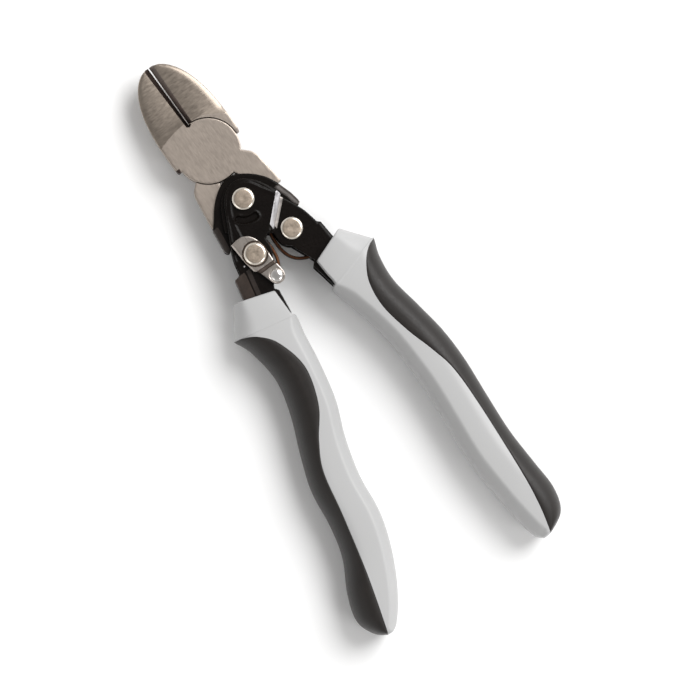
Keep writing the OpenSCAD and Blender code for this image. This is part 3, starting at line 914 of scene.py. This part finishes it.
rivet_shape(FULCRUM, OUTER_TOP, OUTER_TOP).piece(
    "fulcrum_rivet_domed", [NICKEL, HIGHLIGHT_RIM_NICKEL], "link_housing", ["fulcrum_rivet"], "nickel")
rivet_shape(RIGHT_PIN, INNER_TOP, INNER_TOP).piece(
    "right_tail_rivet_domed", [NICKEL, HIGHLIGHT_RIM_NICKEL], "right_handle", ["right_tail_rivet"], "nickel")
rivet_shape(LEFT_PIN, LATCH_FLOOR, OUTER_TOP).piece(
    "left_tail_rivet_domed", [NICKEL, HIGHLIGHT_RIM_NICKEL], "left_handle", ["left_tail_rivet"], "nickel")

# ---------------------------------------------------------------- latch

# Places on the latch are measured from its pin
THUMB = np.array([-9.95, -1.7])
DOME_R = 2.2
LATCH_OUTLINE = (
    [(6.9, 4.9)]
    + smooth([(7.3, 2.6), (7.2, 0.6), (6.3, -1.3), (4.9, -2.6), (3, -3.4), (0.6, -3.95), (-2.5, -3.95),
              (-5.2, -3.85), (-6.8, -4.15), (-8.4, -4.35)], 5)
    + arc(THUMB, 2.8, -80, -255, 20)
    + [(-8.6, 1.6), (-6, 2.4), (-4.6, 3.8), (-0.7, 4.5)]
)


def latch_top(p):
    q = p - LEFT_PIN
    height = np.full(len(p), LATCH_TOP)
    # recess for the rivet's head
    height -= 0.5 * (1 - ramp((np.linalg.norm(q, axis=1) - 4.15) / 0.3))
    # joggle between the plate and the thumb rest
    height -= 0.5 * ramp((-5 - q[:, 0]) / 0.6) * (1 - ramp((-6.2 - q[:, 0]) / 0.6))
    # dome, with a groove round it
    d = np.linalg.norm(q - THUMB, axis=1)
    height -= 0.12 * ramp(1 - np.abs(d - 2.3) / 0.25)
    return height + 0.86 * np.sqrt(np.clip(1 - (d / DOME_R) ** 2, 0, 1))


def latch_edge(p):
    """The latch's rim is rounder on its outer side."""
    return 0.3 + 0.4 * ramp((p[:, 1] - LEFT_PIN[1]) / 3)


def latch_paint(p):
    q = p - LEFT_PIN
    joggle = (q[:, 0] < -5.1) & (q[:, 0] > -6.5)
    recess = np.linalg.norm(q, axis=1) < 4.2
    # the dome gets the near-white finish: polished, with a painted highlight
    dome = np.linalg.norm(q - THUMB, axis=1) < DOME_R
    return np.where(dome, 1, np.where(joggle | recess, 2, 0))


def latch_shape():
    creases = [arc(LEFT_PIN, r, 0, 360, 60) for r in (4.15, 4.45)]
    creases += [arc(LEFT_PIN + THUMB, r, 0, 360, 48) for r in (DOME_R, 2.45)]
    creases += [[LEFT_PIN + (x, -6), LEFT_PIN + (x, 6)] for x in (-5, -5.6, -6.2, -6.8)]
    outline = np.array(LATCH_OUTLINE) + LEFT_PIN
    return plate(outline, latch_top, level(LATCH_BASE), 0.3, latch_edge,
                 holes=[bore(LEFT_PIN, 2.28)], creases=creases, paint=latch_paint)


latch_shape().piece(
    "latch_plate", [LATCH_STEEL, HIGHLIT_DOME_STEEL, SHADED_STEEL], "latch", ["latch_lever"], "nickel")

# ---------------------------------------------------------------- springs


def spring_path(foot_y, bulge):
    """A curl round the fulcrum, a bow past the tail, and a foot in the channel."""
    bow = [(-25, 2.7), (-29, 2), (-33, 1.3 + bulge), (-37, 0.75 + bulge), (-41, 0.9 + bulge),
           (-44, 1.85 + bulge), (-46.2, 3.6 + bulge), (-47.6, 5.9 + bulge), (-48.7, 8.7 + bulge),
           (-50.6, 12.2), (-56, foot_y - 2.4), (-60, foot_y), (-68, foot_y)]
    return arc(FULCRUM, 3.7, -160, 110, 40) + smooth(bow, 8)


def spring_shape(foot_y, bulge, low, high):
    """A flat spring with painted shade on its edges, so that its top looks a little brighter."""
    across, heights = rounded_box(1.1, low, high, 0.25)
    middles = np.abs(np.array(across) + np.roll(across, -1)) / 2
    return sweep(spring_path(foot_y, bulge), across, heights, np.where(middles > 0.33, 1, 0))


spring_shape(19.5, 0.9, 0.2, 2.8).piece(
    "left_flat_spring", [SPRING_STEEL, SHADED_SPRING_EDGE], "left_handle", ["left_spring"], "spring_steel")
spring_shape(18.2, 0, -2.8, -0.2).on_right().piece(
    "right_flat_spring", [SPRING_STEEL, SHADED_SPRING_EDGE], "right_handle", ["right_spring"], "spring_steel")

# ---------------------------------------------------------------- grips

# Outer and inner side of each grip and the edge of its pad, from the mouth to the end
LEFT_OUTER = [
    (-46.5, 22.9), (-51.4, 26.3), (-56.3, 29.4), (-57.2, 29.9), (-63, 27.5), (-75, 26.1), (-87, 28.8),
    (-100, 34), (-112, 38.1), (-125, 39.8), (-136, 42.6), (-147, 48.4), (-156, 51), (-162.6, 48.7),
    (-165.6, 45.2),
]
LEFT_INNER = [
    (-50.8, 9.1), (-56, 9.1), (-60, 9), (-61.8, 8), (-68, 9.2), (-79, 10.8), (-92, 13.6), (-104, 18.3),
    (-117, 21.8), (-130, 23.3), (-140, 26.2), (-150, 30.7), (-158.4, 35.8), (-164, 40.4), (-165.6, 43),
]
LEFT_PAD = [
    (-57.2, 29.9), (-57.6, 27.2), (-60.3, 22.6), (-66, 18.3), (-77.3, 15.9), (-90, 19.6), (-99.7, 26.4),
    (-109, 31.2), (-125, 34.5), (-145, 39.2), (-165.6, 45.2),
]
RIGHT_OUTER = [
    (-46.1, -20.5), (-50.6, -24.1), (-54.9, -27.5), (-55.8, -28.1), (-62, -26.1), (-71, -25.4),
    (-82, -27.2), (-94, -29), (-106, -29.3), (-120, -28.3), (-134, -27.5), (-147, -28), (-158, -28.4),
    (-166, -25.6), (-169.9, -18.2),
]
RIGHT_INNER = [
    (-51, -7.6), (-56, -7.9), (-60.4, -8.2), (-62.2, -6.7), (-69, -8.4), (-77, -10.4), (-87, -12.1),
    (-97, -12.6), (-107, -12.6), (-120, -11.6), (-134, -10.5), (-147, -11), (-159, -12.1), (-167, -13.5),
    (-169.9, -15.8),
]
RIGHT_PAD = [
    (-55.8, -28.1), (-57.1, -24.6), (-60.8, -20.9), (-67, -17.7), (-76, -16.8), (-87, -18.8),
    (-97.4, -21.9), (-107, -23.9), (-123, -23.8), (-147, -22.2), (-160, -20.5), (-169.9, -18.2),
]
GRIP_HALF = (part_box("left_grip_shell")[1].z - MID_Z) / MM
MOUTH_HALF = GRIP_HALF - 0.7
MOUTH_SHARE = 0.1
END_HALF = 4.6
END_SHARE = 0.2
SHELL_STEPS = 40
PAD_STEPS = 20
SHELL_LIP = 0.3
PAD_LIP = 0.45
SHELL_SINK = 0.12


def grip_half(s):
    """Half thickness of a grip, s from 0 at the mouth to 1 at the end."""
    if s < MOUTH_SHARE:
        return MOUTH_HALF + (GRIP_HALF - MOUTH_HALF) * math.sin(math.pi / 2 * s / MOUTH_SHARE)
    if s < 1 - END_SHARE:
        return GRIP_HALF
    t = (s - 1 + END_SHARE) / END_SHARE
    return END_HALF + (GRIP_HALF - END_HALF) * math.sqrt(1 - min(t, 1) ** 2)


def crossing(outer, inner, line):
    """Where a line crosses a section, as a distance from the section's centre towards outer, or None."""
    half = np.linalg.norm(outer - inner) / 2
    across = (outer - inner) / (2 * half)
    q = np.asarray(line, float) - (outer + inner) / 2
    along, off = q @ across, q @ np.array([-across[1], across[0]])
    found = []
    for k in range(len(q) - 1):
        if (off[k] > 0) != (off[k + 1] > 0):
            t = off[k] / (off[k] - off[k + 1])
            x = along[k] + t * (along[k + 1] - along[k])
            if -half <= x <= half + 0.5:
                found.append(x)
    return min(found) if found else None


def profile_height(x, w, v, rim_w, corner):
    """Half thickness at x across a section of half width w and half thickness v.

    The crown is nearly flat. The inner side has a soft crease and a steep rim, the outer a round corner.
    """
    rim_w = min(rim_w, 0.8 * w)
    corner = min(corner, 0.95 * w)
    u = np.clip((-x - (w - rim_w)) / rim_w, 0, 1)
    fall = min(1, rim_w / 3.5)
    inner = (1 - fall * (0.17 * ramp(u / 0.7) + 0.09 * u)) * np.sqrt(np.clip(1 - u ** 5, 0, 1))
    t = np.clip((x - (w - corner)) / corner, 0, 1)
    outer = np.sqrt(np.clip(1 - t * t, 0, 1))
    crown = 1 - 0.06 * (x / w) ** 2
    return v * np.minimum(inner, outer) * crown


def half_loop(start, end, steps, lip, sink, section):
    """One side's upper curve, from the outline at start to the seam at end, rounded over a lip there."""
    # points lie closest at the outline and over the lip
    x = np.empty(steps)
    size = abs(end - start)
    inwards = (start - end) / max(size, 1e-6)
    x[-4:] = [end + inwards * min(share * lip, 0.2 * size) for share in (1, 0.5, 0.15, 0)]
    x[:-4] = start + (x[-4] - start) * (np.arange(steps - 4) / (steps - 4)) ** 2.2
    z = profile_height(x, *section)
    d = np.abs(x - end)
    gap = np.clip(1 - d / lip, 0, 1)
    drop = lip * (1 - np.sqrt(1 - gap * gap))
    z = np.maximum(z - sink * np.clip(d / lip, 0, 1) - drop * min(1, size / (2 * lip)), 0)
    z[0] = 0
    return x, z


def closed_row(centre, across, x, z):
    """A section's points in space, along its upper curve and back along its lower one."""
    upper = [(*(centre + across * a), h) for a, h in zip(x, z)]
    lower = [(*(centre + across * a), -h) for a, h in zip(x[::-1], z[::-1])]
    return upper + lower[:-1]


def grip_rows(outer, inner, pad_edge, rim_w):
    """Sections of one grip's shell and pad, which meet along the pad's edge."""
    outs, inns = np.array(smooth(outer, 12)), np.array(smooth(inner, 12))
    line = smooth(pad_edge, 10)
    last = len(outs) - 1
    shell_rows, pad_rows = [], []
    for i, (out, inn) in enumerate(zip(outs, inns)):
        s = i / last
        half = np.linalg.norm(out - inn) / 2
        across = (out - inn) / (2 * half)
        centre = (out + inn) / 2
        # the mouth's edge is rounded and the far end closes
        inset = 0.35 * (1 - math.sqrt(1 - max(0, 1 - i / 1.5) ** 2))
        close = 1 - max(0, 1 - (last - i) / 6) ** 2
        w = half - inset
        v = (grip_half(s) - inset) * (0.4 + 0.6 * math.sqrt(close))
        corner = 0.85 * min(w, v) * (1 - 0.45 * max(0, 1 - s / 0.12))
        section = (w, v, rim_w * (0.14 + 0.86 * ramp((s - 0.13) / 0.16)), corner)
        seam = crossing(out, inn, line)
        if seam is None or seam > w - 0.05:
            seam = w - 0.05
        seam = max(seam, -w + 0.6)
        sink = SHELL_SINK if seam < w - 1 else 0
        shell = half_loop(-w, seam, SHELL_STEPS, SHELL_LIP, sink, section)
        pad = half_loop(w, seam, PAD_STEPS, PAD_LIP, 0, section)
        shell_rows.append(closed_row(centre, across, *shell))
        pad_rows.append(closed_row(centre, across, *pad))
    return shell_rows, pad_rows


def loft(rows):
    return Shape().add([v for row in rows for v in row], tube_faces(len(rows), len(rows[0])))


def make_grip(side, outer, inner, pad_edge, rim_w):
    shell_rows, pad_rows = grip_rows(outer, inner, pad_edge, rim_w)
    # the pad starts one section before its first wide one
    first = next(i for i, row in enumerate(pad_rows) if np.ptp(np.array(row)[:, :2], axis=0).max() > 0.12)
    shell, pad = loft(shell_rows), loft(pad_rows[max(first - 1, 0):])
    # the faces come out inwards on the left shell and on the right pad
    if side == "left":
        shell = shell.inside_out()
    else:
        pad = pad.inside_out()
    body = side + "_handle"
    shell.piece(side + "_shell_moulding", [GRAY_SHELL], body, [side + "_grip_shell"], "gray_shell", sharp=75)
    pad.piece(side + "_pad_moulding", [BLACK_PAD], body, [side + "_grip_pad"], "black_pad", sharp=50)


make_grip("left", LEFT_OUTER, LEFT_INNER, LEFT_PAD, 3.7)
make_grip("right", RIGHT_OUTER, RIGHT_INNER, RIGHT_PAD, 4.3)

# ---------------------------------------------------------------- small parts kept from the frame

SMALL_PARTS = dict.fromkeys(
    ("jaw_pivot_pin", "fulcrum_spacer", "left_tail_washers", "right_tail_washers", "left_spring_rivet",
     "right_spring_rivet"), PIN_STEEL)
SMALL_PARTS["latch_wave_washer"] = SPRING_STEEL

for node, look in SMALL_PARTS.items():
    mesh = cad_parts[node].data
    mesh.materials.clear()
    mesh.materials.append(look)

# ---------------------------------------------------------------- floor, light and camera

# The picture's right and up, as directions on the floor
VIEW_TURN = math.radians(234.3)
VIEW_RIGHT = Vector((math.cos(VIEW_TURN), math.sin(VIEW_TURN), 0))
VIEW_UP = Vector((-math.sin(VIEW_TURN), math.cos(VIEW_TURN), 0))
UPPER_RIGHT = (VIEW_RIGHT + VIEW_UP).normalized()
LOWER_RIGHT = (VIEW_RIGHT - VIEW_UP * 0.7).normalized()
VIEW_CENTRE = Vector(place((-81.3, 0.1, 0)))
# Width of the picture at the tool, in metres
FRAME_WIDTH = 0.2333
CAMERA_TILT = math.radians(3)
FLOOR_REACH = 3.0
HORIZON = 0.7
ZENITH = 0.34


def make_floor():
    paper = finish("paper_floor", (0.95, 0.95, 0.95, 1), 0.8, 0.0, grain=(400, 400, 400), spread=0.004,
                   bump=0.000004, blotch=8, blotch_spread=0.003, specular=0.2)
    mesh = bpy.data.meshes.new("floor")
    corners = [(FLOOR_REACH * x, FLOOR_REACH * y, 0) for x, y in ((-1, -1), (1, -1), (1, 1), (-1, 1))]
    mesh.from_pydata(corners, [], [(0, 1, 2, 3)])
    mesh.materials.append(paper)
    floor = bpy.data.objects.new("floor", mesh)
    bpy.context.scene.collection.objects.link(floor)


def make_world():
    """A plain studio surround, brighter towards the horizon."""
    world = bpy.data.worlds.new("studio")
    world.use_nodes = True
    tree = world.node_tree
    where = add_node(tree, "ShaderNodeTexCoord")
    split = add_node(tree, "ShaderNodeSeparateXYZ")
    tree.links.new(where.outputs["Generated"], split.inputs["Vector"])
    strength = ranged(tree, split.outputs["Z"], 0.0, 1.0, HORIZON, ZENITH)
    background = tree.nodes["Background"]
    tree.links.new(strength, background.inputs["Strength"])
    background.inputs["Color"].default_value = (1, 0.99, 0.98, 1)
    bpy.context.scene.world = world


def add_light(name, direction, away, size, power):
    """A round soft light that points at the middle of the view."""
    light = bpy.data.lights.new(name, "AREA")
    light.shape = "DISK"
    light.size = size
    light.energy = power
    lamp = bpy.data.objects.new(name, light)
    lamp.location = VIEW_CENTRE + direction.normalized() * away
    lamp.rotation_euler = (VIEW_CENTRE - lamp.location).to_track_quat("-Z", "Y").to_euler()
    bpy.context.scene.collection.objects.link(lamp)


def make_lights():
    overhead = Vector((0, 0, 1))
    add_light("key", UPPER_RIGHT + overhead, 2.4, 2.0, 66)
    add_light("glint", LOWER_RIGHT + overhead, 1.2, 0.5, 2.2)
    add_light("fill", overhead - UPPER_RIGHT * 1.4, 1.2, 0.8, 1.2)


def make_camera():
    """A long lens that leans a little towards the picture's lower left."""
    camera = bpy.data.cameras.new("camera")
    camera.type = "PERSP"
    camera.sensor_width = 36
    camera.lens = 200
    camera.clip_start = 0.01
    camera.clip_end = 20
    away = FRAME_WIDTH * camera.lens / camera.sensor_width
    back = Vector((0, 0, math.cos(CAMERA_TILT))) - UPPER_RIGHT * math.sin(CAMERA_TILT)
    up = (VIEW_UP - back * VIEW_UP.dot(back)).normalized()
    turn = Matrix((up.cross(back), up, back)).transposed().to_4x4()
    rig = bpy.data.objects.new("camera", camera)
    rig.matrix_world = Matrix.Translation(VIEW_CENTRE + back * away) @ turn
    bpy.context.scene.collection.objects.link(rig)
    bpy.context.scene.camera = rig


make_floor()
make_world()
make_lights()
make_camera()
bpy.context.scene.view_settings.view_transform = "Standard"
